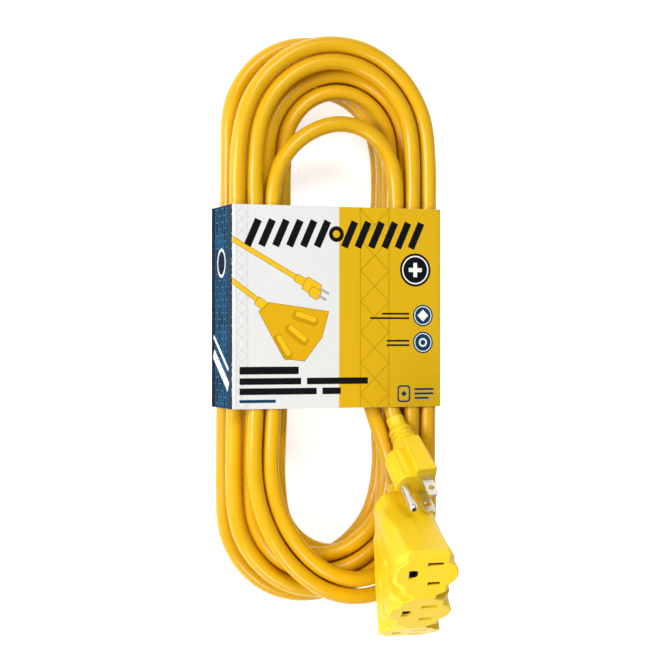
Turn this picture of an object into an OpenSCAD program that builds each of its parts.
// Extension cord with a grounded plug and a three-way fan connector, wound as a
// long hank that a printed card sleeve holds round its middle.
// Millimetres. The hank lies on the floor, long along Y, and +Z points up.

/* [Cord] */
// Outer diameter of the three-core jacket
cord_d = 9.4; // [8.6:0.1:9.6]
// Outer diameter of one insulated conductor
wire_d = 2.8; // [2.2:0.1:3]

/* [Hank] */
// Turns wound in each of the four layers
layer_turns = 3; // [2:1:3]
// Step from one turn to the next inside a layer
turn_step = 10.3; // [10.2:0.1:11]
// Step from one layer up to the next
layer_step = 10.4; // [10:0.1:11]
// Width of the hank over its outermost turns
hank_w = 127; // [124:0.5:140]
// Distance from the origin up to where the outermost turn would peak
reach_up = 182; // [176:1:200]
// Distance from the origin down to where the outermost turn would end
reach_down = 163; // [158:1:180]
// How much lower the last turn peaks than the turn round it
last_drop = 26; // [10:1:30]

/* [Sleeve] */
// Thickness of the card
card_t = 0.5; // [0.3:0.1:1]
// Length of the sleeve along the hank
sleeve_l = 117; // [90:1:130]
// Distance of the sleeve's middle from the origin
sleeve_y = 14.5; // [10:0.5:20]
// Free space between the card and the hank above and below
sleeve_gap = 0.4; // [0.3:0.1:0.8]
// Free space between the card and the hank at either side
side_gap = 0.8; // [0.6:0.1:1.5]

/* [Plug] */
// Length of the moulded body behind the face
plug_l = 33; // [28:1:40]
// Width of the body across the two blades
plug_w = 24; // [23:0.5:28]
// Radius of the rounded bump over the ground pin
plug_bump_r = 7.6; // [7:0.1:9]
// Width of a blade
blade_w = 6.35; // [6:0.05:6.7]
// Thickness of a blade
blade_t = 1.5; // [1.3:0.1:1.7]
// Length of a blade in front of the face
blade_l = 16.1; // [15.9:0.1:18.2]
// Distance between the middles of the two blades
blade_pitch = 12.7; // [12:0.1:13.4]
// Distance of the ground pin from the line of the blades
ground_offset = 11.9; // [11.5:0.1:12.3]
// Diameter of the ground pin
pin_d = 4.8; // [4.7:0.05:4.9]
// Length of the ground pin in front of the face
pin_l = 19.3; // [18:0.1:21.5]
// Diameter of the hole near the tip of a blade
blade_hole_d = 3.9; // [3:0.1:4.2]

/* [Connector] */
// Distance from the virtual middle of the fan to each outlet face
fan_r = 80; // [76:1:90]
// Angle between neighbouring outlet faces
outlet_angle = 22; // [21:0.5:24]
// Thickness of the body between its two broad faces
fan_t = 24.5; // [24:0.5:30]
// Radius of the rounded ridge behind each outlet
ridge_r = 7.6; // [6.5:0.1:9]
// Half of the body's width at its neck
neck_half_w = 10; // [9:0.5:14]
// Distance from the virtual middle of the fan to the neck
neck_y = 14; // [12:1:18]
// Diameter of a ground hole
ground_hole_d = 5.4; // [5.1:0.1:6]
// Width of a blade slot
slot_t = 2.2; // [2:0.1:2.6]
// Length of the longer slot, for the neutral blade
neutral_slot_l = 9; // [8:0.1:9.5]
// Length of the shorter slot, for the line blade
line_slot_l = 7.2; // [7:0.1:7.6]
// Thickness of the inner brass strips
strip_t = 1; // [0.8:0.1:1.2]

/* [Strain reliefs] */
// Radius of a strain relief where it meets its moulding
relief_r_big = 8; // [7.2:0.1:9]
// Radius of a strain relief at the cord's end
relief_r_small = 6; // [5.8:0.1:7]
// Length of the connector's strain relief
relief_l = 20; // [16:1:24]
// Number of raised rings on a strain relief
relief_rings = 3; // [2:1:4]

/* [Hidden] */
$fn = 48;

// ---------- finishes ----------
jacket_colour = "#E9AE0C";
moulding_colour = "#F6C31C";
card_colour = "#E7E6E0";
metal_colour = "#D9D3C4";
brass_colour = "#C9A24A";
bridge_colour = "#D8CFB8";

// ---------- fits ----------
fit = 0.1;        // free space between an inner piece and its pocket
bore_gap = 0.2;   // free space between the jacket and a strain relief's bore
cut = 1;          // how far a cutting shape runs past the solid it cuts

// ---------- small helpers ----------
function unit(v) = v / norm(v);
function smooth(f) = f * f * (3 - 2 * f);
function mix(a, b, f) = a + (b - a) * f;
function bezier(p, f) = pow(1 - f, 3) * p[0] + 3 * pow(1 - f, 2) * f * p[1]
    + 3 * (1 - f) * f * f * p[2] + pow(f, 3) * p[3];

// Direction of the route at point i, from its two neighbours.
function heading(route, i) = unit(route[min(i + 1, len(route) - 1)] - route[max(i - 1, 0)]);

// One ring of a tube: sides points round centre c, square to direction t,
// the first one on the side that ref fixes.
function ring_points(c, t, r, sides, ref) = let (side = unit(cross(t, ref)), up = cross(side, t))
    [for (k = [0:sides - 1]) let (a = 360 * (k + 0.5) / sides) c + r * (cos(a) * side + sin(a) * up)];

function quad_faces(n, sides, first, flip) = [for (i = [0:n - 2], k = [0:sides - 1], half = [0, 1])
    let (a = first + i * sides + k, b = first + i * sides + (k + 1) % sides,
         tri = half == 0 ? [a, b, b + sides] : [a, b + sides, a + sides])
    flip ? [tri[2], tri[1], tri[0]] : tri];

// A solid tube along a route; ends are flat, square to the first and last directions.
module sweep(route, radii, sides, start_dir, end_dir, ref = [0, 0, 1]) {
    n = len(route);
    dirs = [for (i = [0:n - 1]) i == 0 ? start_dir : i == n - 1 ? end_dir : heading(route, i)];
    points = [for (i = [0:n - 1]) each ring_points(route[i], dirs[i], radii[i], sides, ref)];
    start_cap = [for (k = [1:sides - 2]) [0, k + 1, k]];
    end_cap = [for (k = [1:sides - 2]) (n - 1) * sides * [1, 1, 1] + [0, k, k + 1]];
    polyhedron(points, concat(quad_faces(n, sides, 0, false), start_cap, end_cap));
}

// A tube with a bore along a route.
module sweep_bored(route, radii, bore_r, sides, start_dir, end_dir) {
    n = len(route);
    dirs = [for (i = [0:n - 1]) i == 0 ? start_dir : i == n - 1 ? end_dir : heading(route, i)];
    outer = [for (i = [0:n - 1]) each ring_points(route[i], dirs[i], radii[i], sides, [0, 0, 1])];
    inner = [for (i = [0:n - 1]) each ring_points(route[i], dirs[i], bore_r, sides, [0, 0, 1])];
    m = n * sides;
    start_cap = [for (k = [0:sides - 1], half = [0, 1]) let (j = (k + 1) % sides)
        half == 0 ? [k, m + k, m + j] : [k, m + j, j]];
    last = (n - 1) * sides;
    end_cap = [for (k = [0:sides - 1], half = [0, 1]) let (j = (k + 1) % sides)
        half == 0 ? [last + k, m + last + j, m + last + k] : [last + k, last + j, m + last + j]];
    polyhedron(concat(outer, inner),
        concat(quad_faces(n, sides, 0, false), quad_faces(n, sides, m, true), start_cap, end_cap));
}

// A round rod from point p to point q.
module rod(p, q, r) {
    d = q - p;
    translate(p) rotate([0, acos(d[2] / norm(d)), atan2(d[1], d[0])]) cylinder(h = norm(d), r = r);
}

// ---------- the hank ----------
layers = 4;
turns = layers * layer_turns;
run_share = 4 / 24;   // part of a turn that one straight run takes
bend_share = 8 / 24;  // part of a turn that one half-round bend takes
rings_per_turn = 24;
hank_sides = 6;
hank_floor = card_t + sleeve_gap;
left_x = -(hank_w - cord_d) / 2;
right_x = (hank_w - cord_d) / 2 + turn_step / 2;  // half a step is gone where a turn gets there
half_span = (right_x - left_x) / 2;
// How much lower each layer peaks, and how much higher it ends, than the longest one
top_drops = [9, 9, 12, 11];
bottom_lifts = [4, 4, 9, 0];
// How much taller than round each layer's bends are
top_rises = [2, 4, 2, 4];
bottom_rises = [4, 2, 4, 12];
// Sideways lean of each layer's peaks and ends
top_leans = [-2, -9, 2, 0];
bottom_leans = [-8, 2, -6, 11];
last_lean = 4;         // further lean of the last turn's peak
hank_start = 3 / 24;
hank_end = turns - 11 / 24;

function layer_of(u) = min(floor(u / layer_turns + 0.00001), layers - 1);
function layer_z(l) = hank_floor + cord_d / 2 + l * layer_step;
// Steps gone since the layer began: half a step in each bend, none along the runs.
function bend_part(f, from) = min(max((f - from) / bend_share, 0), 1);
function layer_progress(u) = let (w = u - layer_of(u) * layer_turns, k = floor(w + 0.00001))
    k + (bend_part(w - k, run_share) + bend_part(w - k, 2 * run_share + bend_share)) / 2;
// Even layers spiral outwards and odd ones spiral in again.
function inset(u) = turn_step * (layer_of(u) % 2 == 0 ? layer_turns - layer_progress(u) : layer_progress(u));
function drop_of(u) = u >= turns - 1 ? last_drop : 0;
function top_centre_y(u) = let (l = layer_of(u))
    reach_up - top_drops[l] - half_span - top_rises[l] - drop_of(u);
function bottom_centre_y(l) = -reach_down + bottom_lifts[l] + half_span + bottom_rises[l];
function lean_of(u, t) = top_leans[layer_of(u)] * sin(t) + (u >= turns - 1 ? last_lean * pow(sin(t), 2) : 0);

// A point of the winding after u turns: up the left side, over the top,
// down the right side and round the bottom.
function hank_point(u) = let (
        l = layer_of(u), f = u - floor(u + 0.00001), s = inset(u),
        xl = left_x + s, xr = right_x - s, a = (xr - xl) / 2, cx = (xr + xl) / 2,
        climbing = f < run_share && l > 0 && u - l * layer_turns < run_share,
        below = climbing || (f < run_share && u < 1) ? max(l - (climbing ? 1 : 0), 0) : l)
    f < run_share ? let (g = f / run_share)
        [xl, mix(bottom_centre_y(below), top_centre_y(u), g),
         climbing ? mix(layer_z(l - 1), layer_z(l), smooth(g)) : layer_z(l)] :
    f < run_share + bend_share ? let (t = 180 * (f - run_share) / bend_share)
        [cx - a * cos(t) + lean_of(u, t), top_centre_y(u) + (a + top_rises[l]) * sin(t), layer_z(l)] :
    f < 2 * run_share + bend_share ? let (g = (f - run_share - bend_share) / run_share)
        [xr, mix(top_centre_y(u), bottom_centre_y(l), g), layer_z(l)] :
    let (t = 180 * (f - 2 * run_share - bend_share) / bend_share)
        [cx + a * cos(t) + bottom_leans[l] * sin(t),
         bottom_centre_y(l) - (a + bottom_rises[l]) * sin(t), layer_z(l)];

hank_route = [for (i = [0:round((hank_end - hank_start) * rings_per_turn)])
    hank_point(hank_start + i / rings_per_turn)];
hank_top = layer_z(layers - 1) + cord_d / 2;

// Distance from point p to the stretch between a and b.
function stretch_gap(p, a, b) = let (d = b - a, f = min(max((p - a) * d / (d * d), 0), 1))
    norm(p - a - f * d);

module report_hank() {
    fine = 3;
    points = [for (i = [0:round((hank_end - hank_start) * rings_per_turn * fine)])
        hank_point(hank_start + i / rings_per_turn / fine)];
    apart = round(rings_per_turn * fine / 2);
    gap = min([for (i = [0:len(points) - 1 - apart], j = [i + apart:len(points) - 2])
        stretch_gap(points[i], points[j], points[j + 1])]) - cord_d;
    length = ceil(len(points)) > 1 ? [for (i = [1:len(points) - 1]) norm(points[i] - points[i - 1])] : [0];
    echo(least_gap_mm = gap, hank_length_mm = length * [for (v = length) 1]);
}

module cord_hank() color(jacket_colour) {
    sweep(hank_route, [for (p = hank_route) cord_d / 2], hank_sides,
        heading(hank_route, 0), unit([0, -1, 0]));
    report_hank();
}

// ---------- where the plug and the connector lie ----------
plug_turn = [38, -4, 5.1];
tail_bend_r = 4 * cord_d;             // the plug's cord bends up round this radius
tail_bend_angle = 90 - plug_turn[0];
tail_bend_y = -36.6;                  // where that bend begins
tail_bend_x = 34.7;                   // how far from the middle it begins
tail_x = 39.3;                        // where that cord is when the bend ends
tail_dip = 0.7;                       // how much lower than the hank's top layer it begins
fan_yaw = -6.8;
fan_rise = 40.3;
fan_roll = 12;
fan_at = [33.4, -95.2, hank_top + 8.6];

function turn_x(v, a) = [v[0], v[1] * cos(a) - v[2] * sin(a), v[1] * sin(a) + v[2] * cos(a)];
function turn_y(v, a) = [v[0] * cos(a) + v[2] * sin(a), v[1], -v[0] * sin(a) + v[2] * cos(a)];
function turn_z(v, a) = [v[0] * cos(a) - v[1] * sin(a), v[0] * sin(a) + v[1] * cos(a), v[2]];
function plug_dir(v) = turn_z(turn_y(turn_x(v, plug_turn[0]), plug_turn[1]), plug_turn[2]);
function plug_world(p) = plug_at + plug_dir(p);
function bend_point(a) = [mix(tail_bend_x, tail_x, smooth(a / tail_bend_angle)),
    tail_bend_y - tail_bend_r * sin(a), layer_z(layers - 1) - tail_dip + tail_bend_r * (1 - cos(a))];
plug_at = bend_point(tail_bend_angle) + plug_l * plug_dir([0, 0, 1]);
function fan_dir(v) = turn_z(turn_x(turn_y(turn_z(turn_y(v, -90), 180), -fan_roll), -fan_rise), fan_yaw);
function fan_world(p) = fan_at + fan_dir(p);

// The plug's own frame: its face is at z = 0, the blades point along +z and
// stand apart along y, and the ground pin is on the -x side.
module place_plug() translate(plug_at) rotate(plug_turn) children();

// The connector's own frame: the fan spreads in the xy plane about the origin,
// its outlets face +y, and z runs through its thickness.
module place_fan() translate(fan_at) rotate([0, 0, fan_yaw]) rotate([-fan_rise, 0, 0])
    rotate([0, -fan_roll, 0]) rotate([0, -90, 180]) children();

// ---------- free stretches of the cord ----------
tube_sides = 10;
wire_sides = 12;
relief_sides = 16;
jacket_end_depth = 6;   // how far the jacket reaches into each moulding
relief_from = 21;       // angle of the tail's bend where the plug's strain relief begins
bend_steps = 10;
bend_angles = [for (i = [0:bend_steps]) tail_bend_angle * i / bend_steps];
hank_last = hank_route[len(hank_route) - 1];
plug_end_route = concat(
    [hank_last, hank_last - [0, cord_d, 0]],
    [for (i = [1:5]) let (f = i / 6) [mix(hank_last[0], tail_bend_x, smooth(f)),
        mix(hank_last[1] - cord_d, tail_bend_y, f), hank_last[2] - tail_dip * smooth(f)]],
    [for (a = bend_angles) bend_point(a)], [plug_at - (plug_l - jacket_end_depth) * plug_dir([0, 0, 1])]);

fan_back = fan_world([0, neck_y - relief_l, 0]);
fan_axis = fan_dir([0, 1, 0]);
connector_end_points = [[-27, 52, 5.6], [-24, 36, 7], [-16.5, 20, 10.5], [-5.5, 4, 15.5],
                        [6, -12, 21.5], [16.5, -27, 27], [24.4, -42, 30.6], [27.4, -52, 31.3],
                        [30.6, -62, 33.2], [33, -71, 35.4]];
connector_end_route = concat(
    [hank_route[0], hank_route[0] - 6 * heading(hank_route, 0)], connector_end_points,
    [fan_back - cord_d * fan_axis, fan_back, fan_back + relief_l / 2 * fan_axis,
     fan_world([0, neck_y + jacket_end_depth, 0])]);

module cord_plug_end() color(jacket_colour)
    sweep(plug_end_route, [for (p = plug_end_route) cord_d / 2], tube_sides,
        unit([0, -1, 0]), plug_dir([0, 0, 1]));

module cord_connector_end() color(jacket_colour)
    sweep(connector_end_route, [for (p = connector_end_route) cord_d / 2], tube_sides,
        -heading(hank_route, 0), fan_axis);

// ---------- the card sleeve ----------
sleeve_inner_w = hank_w + 2 * side_gap;
sleeve_inner_h = hank_top - card_t + sleeve_gap;
fold_r = 2;

module card_outline(grow, r) translate([0, card_t + sleeve_inner_h / 2]) offset_box(
    sleeve_inner_w + 2 * grow, sleeve_inner_h + 2 * grow, r);

// A rectangle with round corners, drawn with true arcs.
module offset_box(w, h, r) {
    square([w - 2 * r, h], center = true);
    square([w, h - 2 * r], center = true);
    for (x = [-1, 1], y = [-1, 1]) translate([x * (w / 2 - r), y * (h / 2 - r)]) circle(r = r);
}

module sleeve() color(card_colour)
    translate([0, sleeve_y + sleeve_l / 2, 0]) rotate([90, 0, 0]) linear_extrude(sleeve_l)
        difference() {
            card_outline(card_t, fold_r + card_t);
            card_outline(0, fold_r);
        }

// ---------- the plug ----------
plug_flat_x = [-5.8, 6.8];       // span of the flat block that holds the blades
bump_x = -9.2;                // middle of the bump over the ground pin
bump_l = 25;                  // length of that bump
plug_edge_r = 2;
blade_depth = 13;             // how far a blade reaches behind the face
bridge_x = [-4.6, 5];          // span of the bridge's wide part
bridge_w = 19;
tongue_x = -14.6;             // end of the narrow part round the ground pin
tongue_w = 8;
bridge_z = [-12, -1.5];
crimp_l = 6;
shank_r = 2;                  // radius of the ground pin inside the body
pin_shoulder = 0.5;           // how far in front of the face the pin has its full diameter
crimp_r = wire_d / 2 + 0.5;
wire_start_z = -plug_l + jacket_end_depth;
core_r = 2.1;                 // distance of each conductor from the cord's middle

module offset_corner(w, h, r) translate([w / 2, h / 2]) offset_box(w, h, r);

// The block narrows a little towards its back; the bump runs straight back.
module plug_outline() {
    hull() {
        translate([0, 0, -3]) linear_extrude(2) block_section(0);
        translate([0, 0, -1]) linear_extrude(1) block_section(0.6);
        translate([0, 0, -plug_l]) linear_extrude(1) block_section(2.4);
    }
    hull() {
        translate([bump_x, 0, -bump_l + 3]) cylinder(h = bump_l - 4, r = plug_bump_r);
        translate([bump_x, 0, -1]) cylinder(h = 1, r = plug_bump_r - 0.6);
        translate([bump_x + 1, 0, -bump_l]) cylinder(h = 1, r = plug_bump_r - 2);
    }
    translate([0, 0, -plug_l]) cylinder(h = plug_l / 2, r = relief_r_big);
}

module block_section(shrink) translate([plug_flat_x[0] + shrink / 2, -plug_w / 2 + shrink])
    offset_corner(plug_flat_x[1] - plug_flat_x[0] - shrink, plug_w - 2 * shrink, plug_edge_r);

module blade_shape(grow) {
    w = blade_w + 2 * grow;
    t = blade_t + 2 * grow;
    translate([-w / 2, -t / 2, -blade_depth - grow]) cube([w, t, blade_depth + blade_l - 2 + grow]);
    translate([-w / 2 + 1.5, -t / 2, blade_l - 2 - fit]) cube([w - 3, t, 2 + fit]);
    for (x = [-1, 1]) translate([x * (w / 2 - 2), t / 2, blade_l - 2]) rotate([90, 0, 0])
        cylinder(h = t, r = 2);
    translate([0, 0, -blade_depth - crimp_l - grow])
        cylinder(h = crimp_l + 1 + 2 * grow, r = crimp_r + grow);
}

module blade() difference() {
    blade_shape(0);
    translate([0, blade_t, blade_l - 5.8]) rotate([90, 0, 0]) cylinder(h = 2 * blade_t, d = blade_hole_d);
}

module line_blade() color(metal_colour) place_plug() translate([0, -blade_pitch / 2, 0]) blade();
module neutral_blade() color(metal_colour) place_plug() translate([0, blade_pitch / 2, 0]) blade();

module ground_shape(grow) {
    translate([0, 0, -blade_depth - grow])
        cylinder(h = blade_depth + pin_shoulder + cut + grow, r = shank_r + grow);
    translate([0, 0, pin_shoulder]) cylinder(h = pin_l - pin_d / 2 - pin_shoulder, r = pin_d / 2 + grow);
    translate([0, 0, pin_l - pin_d / 2]) sphere(r = pin_d / 2 + grow);
    translate([0, 0, -blade_depth - crimp_l - grow])
        cylinder(h = crimp_l + 1 + 2 * grow, r = crimp_r + grow);
}

module ground_pin() color(metal_colour) place_plug() translate([-ground_offset, 0, 0]) ground_shape(0);

// Ends of each conductor inside the plug: at the jacket, then at its crimp.
crimp_z = -blade_depth - crimp_l;
plug_wires = [[[core_r, -1.3, wire_start_z], [0, -blade_pitch / 2, crimp_z]],
              [[core_r, 1.3 + wire_d / 2, wire_start_z], [0, blade_pitch / 2, crimp_z]],
              [[-core_r, 0, wire_start_z], [-ground_offset, 0, crimp_z]]];

// A conductor lies between the jacket's flat end and its crimp's flat end.
module plug_wire(i, grow) sweep(plug_wires[i], [wire_d / 2 + grow, wire_d / 2 + grow], wire_sides,
    [0, 0, 1], [0, 0, 1], [1, 0, 0]);

module plug_line_wire() color("black") place_plug() plug_wire(0, 0);
module plug_neutral_wire() color("white") place_plug() plug_wire(1, 0);
module plug_ground_wire() color("green") place_plug() plug_wire(2, 0);

// The inner block that holds the two blades and, on a tongue, the ground pin.
module bridge_shape(grow) {
    h = bridge_z[1] - bridge_z[0] + 2 * grow;
    translate([bridge_x[0] - grow, -bridge_w / 2 - grow, bridge_z[0] - grow])
        cube([bridge_x[1] - bridge_x[0] + 2 * grow, bridge_w + 2 * grow, h]);
    translate([tongue_x - grow, -tongue_w / 2 - grow, bridge_z[0] - grow])
        cube([bridge_x[0] - tongue_x + 2 * grow, tongue_w + 2 * grow, h]);
}

module plug_metal(grow) {
    for (y = [-1, 1]) translate([0, y * blade_pitch / 2, 0]) blade_shape(grow);
    translate([-ground_offset, 0, 0]) ground_shape(grow);
}

module plug_bridge() color(bridge_colour) place_plug() difference() {
    bridge_shape(0);
    plug_metal(fit);
}

module plug_body() color(moulding_colour) place_plug() difference() {
    plug_outline();
    bridge_shape(fit);
    plug_metal(fit);
    for (i = [0:2]) plug_wire(i, fit);
    translate([0, 0, -plug_l - cut]) cylinder(h = jacket_end_depth + cut, r = cord_d / 2 + bore_gap);
}

// Radius along a ribbed strain relief, from the cord's end to the moulding.
function relief_radius(f) = mix(relief_r_small, relief_r_big, f) + 0.4 * cos(360 * relief_rings * f);

relief_steps = 20;
relief_route = [for (i = [0:relief_steps]) bend_point(mix(relief_from, tail_bend_angle, i / relief_steps))];

module plug_strain_relief() color(moulding_colour)
    sweep_bored(relief_route, [for (i = [0:relief_steps]) relief_radius(i / relief_steps)],
        cord_d / 2 + bore_gap, relief_sides, heading(relief_route, 0), plug_dir([0, 0, 1]));

// ---------- the fan connector ----------
outlets = [-1, 0, 1];
face_half = fan_r * tan(outlet_angle / 2);
corner = [fan_r * sin(outlet_angle) + face_half * cos(outlet_angle),
          fan_r * cos(outlet_angle) - face_half * sin(outlet_angle)];
slot_z = 4.5;                          // height of the slots over the body's middle
ground_z = slot_z - ground_offset;
bus_r = 58;
bus_half_w = 2;                        // half of a strip's width
inner_wall = 2;                        // wall behind the strips, and behind each outlet face
carrier_r = [bus_r - bus_half_w - inner_wall, fan_r - inner_wall];
carrier_half_t = 10.4;
carrier_half_w = 9.8;
carrier_bar = 2 * bus_half_w + 2 * inner_wall;  // depth of the part that joins its three blocks
overlap = 0.6;                         // how far neighbouring lengths run past their crossing
clip_clear = 8;                        // from a clip's end to the carrier's front
clip_depth = carrier_r[1] - bus_r - clip_clear;
bus_levels = [-0.8, 8.6, ground_z];   // heights of the line, neutral and ground strips
pole_offsets = [-blade_pitch / 2, blade_pitch / 2, 0];
pole_levels = [slot_z, slot_z, ground_z];
clip_widths = [6.4, 8, 5];
neck_t = 21;
ridge_start = neck_y + 12;
plateau_h = 4.4;                       // how far the raised broad faces stand out
plateau_inset = 8;                     // how far their top stays inside the outline
ridge_z = [8.4, fan_t / 2 - 1.6];       // height of a ridge's axis at its start and at its outlet

module at_outlet(k) rotate([0, 0, -k * outlet_angle]) children();

module fan_outline() polygon([[-neck_half_w, neck_y], [-corner[0], corner[1]], [-face_half, fan_r],
    [face_half, fan_r], [corner[0], corner[1]], [neck_half_w, neck_y]]);

// Side view of the body: thin at the neck, full at the outlets.
module fan_side() polygon([[neck_y - cut, -neck_t / 2], [fan_r * 0.6, -fan_t / 2], [fan_r + cut, -fan_t / 2],
    [fan_r + cut, fan_t / 2], [fan_r * 0.6, fan_t / 2], [neck_y - cut, neck_t / 2]]);

// The same outline, with its faces pushed out so that one cut can shape each outlet face.
module long_outline() {
    side = mix([neck_half_w, neck_y], corner, 1.1);
    front = 1.1 * [face_half, fan_r];
    polygon([[-neck_half_w, neck_y], [-side[0], side[1]], [-front[0], front[1]],
        front, side, [neck_half_w, neck_y]]);
}

module fan_solid() difference() {
    fan_blank();
    for (k = outlets) at_outlet(k) translate([-fan_r, fan_r, -fan_r]) cube([2 * fan_r, fan_r, 2 * fan_r]);
}

module fan_blank() {
    intersection() {
        translate([0, 0, -fan_t]) linear_extrude(2 * fan_t) long_outline();
        rotate([90, 0, 90]) linear_extrude(4 * fan_r, center = true) fan_side();
    }
    for (z = [0, 1]) mirror([0, 0, z]) hull() {
        translate([0, 0, fan_t / 2 - 3]) linear_extrude(2) offset(delta = -plateau_inset / 8) fan_outline();
        translate([0, 0, fan_t / 2 + plateau_h - 1]) linear_extrude(1)
            offset(delta = -plateau_inset) fan_outline();
    }
    for (k = outlets, z = [-1, 1]) at_outlet(k) {
        translate([0, ridge_start, z * ridge_z[0]]) sphere(r = ridge_r, $fn = 24);
        rod([0, ridge_start, z * ridge_z[0]], [0, fan_r + 8, z * ridge_z[1]], ridge_r, $fn = 32);
    }
}

// Wedge-shaped hollows between the outlets on both broad faces.
module fan_hollows() for (s = [-1, 1], z = [-1, 1]) rotate([0, 0, s * outlet_angle / 2])
    translate([0, fan_r * 0.6, z * (fan_t / 2 + plateau_h + 1)]) rotate([-90, 0, 0])
        cylinder(h = fan_r / 2, r1 = 0.5, r2 = 8.4);

module slots() for (k = outlets) at_outlet(k) {
    translate([-blade_pitch / 2 - slot_t / 2, fan_r - inner_wall - cut, slot_z - line_slot_l / 2])
        cube([slot_t, inner_wall + 2 * cut, line_slot_l]);
    translate([blade_pitch / 2 - slot_t / 2, fan_r - inner_wall - cut, slot_z - neutral_slot_l / 2])
        cube([slot_t, inner_wall + 2 * cut, neutral_slot_l]);
}

module ground_holes(depth) for (k = outlets) at_outlet(k)
    translate([0, fan_r - depth, ground_z]) rotate([-90, 0, 0]) cylinder(h = depth + cut, d = ground_hole_d);

// The inner block that carries the contacts behind the three outlets.
module carrier_shape(grow) translate([0, 0, -carrier_half_t - grow])
    linear_extrude(2 * (carrier_half_t + grow)) for (k = outlets) at_outlet(k) {
        joint = (carrier_r[0] + carrier_bar) * tan(outlet_angle / 2) + overlap;
        left = (k == outlets[0] ? carrier_half_w + 1 : joint) + grow;
        right = (k == outlets[len(outlets) - 1] ? carrier_half_w + 1 : joint) + grow;
        half = carrier_half_w + grow;
        low = carrier_r[0] - grow;
        bar = carrier_r[0] + carrier_bar + grow;
        polygon([[-left, low], [right, low], [right, bar], [half, bar], [half, carrier_r[1] + grow],
            [-half, carrier_r[1] + grow], [-half, bar], [-left, bar]]);
    }

// A pole's strip: three bars that follow the fan, with a two-leaf clip at each outlet.
module bus_shape(pole, grow) {
    translate([0, 0, bus_levels[pole] - strip_t / 2 - grow])
        linear_extrude(strip_t + 2 * grow) bus_plan(grow);
    for (k = outlets) at_outlet(k) bus_clip(pole, grow);
}

module bus_plan(grow) for (k = outlets) at_outlet(k) {
    joint = bus_r * tan(outlet_angle / 2) + overlap;
    left = k == outlets[0] ? carrier_half_w - 1 : joint;
    right = k == outlets[len(outlets) - 1] ? carrier_half_w - 1 : joint;
    translate([-left - grow, bus_r - bus_half_w - grow])
        square([left + right + 2 * grow, 2 * (bus_half_w + grow)]);
}

module bus_clip(pole, grow) {
    w = clip_widths[pole];
    gap = pole == 2 ? pin_d : blade_t;
    x = pole_offsets[pole];
    z = pole_levels[pole];
    low = min(z - w / 2, bus_levels[pole] - strip_t);
    high = max(z + w / 2, bus_levels[pole] + strip_t);
    translate([x - gap / 2 - strip_t - grow, bus_r - strip_t / 2 - grow, low - grow])
        cube([gap + 2 * strip_t + 2 * grow, bus_half_w + strip_t + 2 * grow, high - low + 2 * grow]);
    for (s = [-1, 1]) translate([x + s * (gap + strip_t) / 2 - strip_t / 2 - grow, bus_r, z - w / 2 - grow])
        cube([strip_t + 2 * grow, clip_depth, w + 2 * grow]);
}

// Space that the clip and the entering blade or pin need.
module clip_space(pole) for (k = outlets) at_outlet(k) {
    w = max(clip_widths[pole], pole == 2 ? ground_hole_d : 0) + 2 * fit;
    gap = (pole == 2 ? pin_d : blade_t) + 2 * strip_t + 2 * fit;
    translate([pole_offsets[pole] - gap / 2, bus_r - fit, pole_levels[pole] - w / 2])
        cube([gap, clip_depth + cut + fit, w]);
}

module blade_channels() for (k = outlets) at_outlet(k) {
    start = bus_r + clip_depth + cut / 2;
    for (x = [-1, 1]) translate([x * blade_pitch / 2 - slot_t / 2, start, slot_z - line_slot_l / 2])
        cube([slot_t, fan_r, line_slot_l]);
    translate([0, start, ground_z]) rotate([-90, 0, 0]) cylinder(h = fan_r, d = ground_hole_d);
}

fan_wire_y = neck_y + jacket_end_depth;
fan_wires = [[[-1.4, fan_wire_y, 1.8], [-3, bus_r - bus_half_w, bus_levels[0]]],
             [[2.3, fan_wire_y, 1.8], [3, bus_r - bus_half_w, bus_levels[1]]],
             [[0.2, fan_wire_y, -2.4], [0, bus_r - bus_half_w, bus_levels[2]]]];

module fan_wire(i, grow) sweep(fan_wires[i], [wire_d / 2 + grow, wire_d / 2 + grow], wire_sides,
    [0, 1, 0], [0, 1, 0]);

module connector_line_wire() color("black") place_fan() fan_wire(0, 0);
module connector_neutral_wire() color("white") place_fan() fan_wire(1, 0);
module connector_ground_wire() color("green") place_fan() fan_wire(2, 0);

module line_bus() color(brass_colour) place_fan() bus_shape(0, 0);
module neutral_bus() color(brass_colour) place_fan() bus_shape(1, 0);
module ground_bus() color(brass_colour) place_fan() bus_shape(2, 0);

module contact_carrier() color(bridge_colour) place_fan() difference() {
    carrier_shape(0);
    for (pole = [0:2]) {
        bus_shape(pole, fit);
        clip_space(pole);
    }
    blade_channels();
    for (i = [0:2]) fan_wire(i, fit);
}
module connector_body() color(moulding_colour) place_fan() difference() {
    fan_solid();
    fan_hollows();
    carrier_shape(fit);
    slots();
    ground_holes(fan_r - carrier_r[1] + cut);
    for (i = [0:2]) fan_wire(i, fit);
    translate([0, neck_y - cut, 0]) rotate([-90, 0, 0])
        cylinder(h = jacket_end_depth + cut, r = cord_d / 2 + bore_gap);
}

module connector_strain_relief() color(moulding_colour)
    sweep_bored([for (i = [0:relief_steps]) fan_world([0, neck_y - relief_l * (1 - i / relief_steps), 0])],
        [for (i = [0:relief_steps]) relief_radius(i / relief_steps)], cord_d / 2 + bore_gap, relief_sides,
        fan_axis, fan_axis);

// ---------- output ----------
cord_hank();
cord_plug_end();
cord_connector_end();
sleeve();
plug_body();
plug_strain_relief();
plug_bridge();
line_blade();
neutral_blade();
ground_pin();
plug_line_wire();
plug_neutral_wire();
plug_ground_wire();
connector_body();
connector_strain_relief();
contact_carrier();
line_bus();
neutral_bus();
ground_bus();
connector_line_wire();
connector_neutral_wire();
connector_ground_wire();
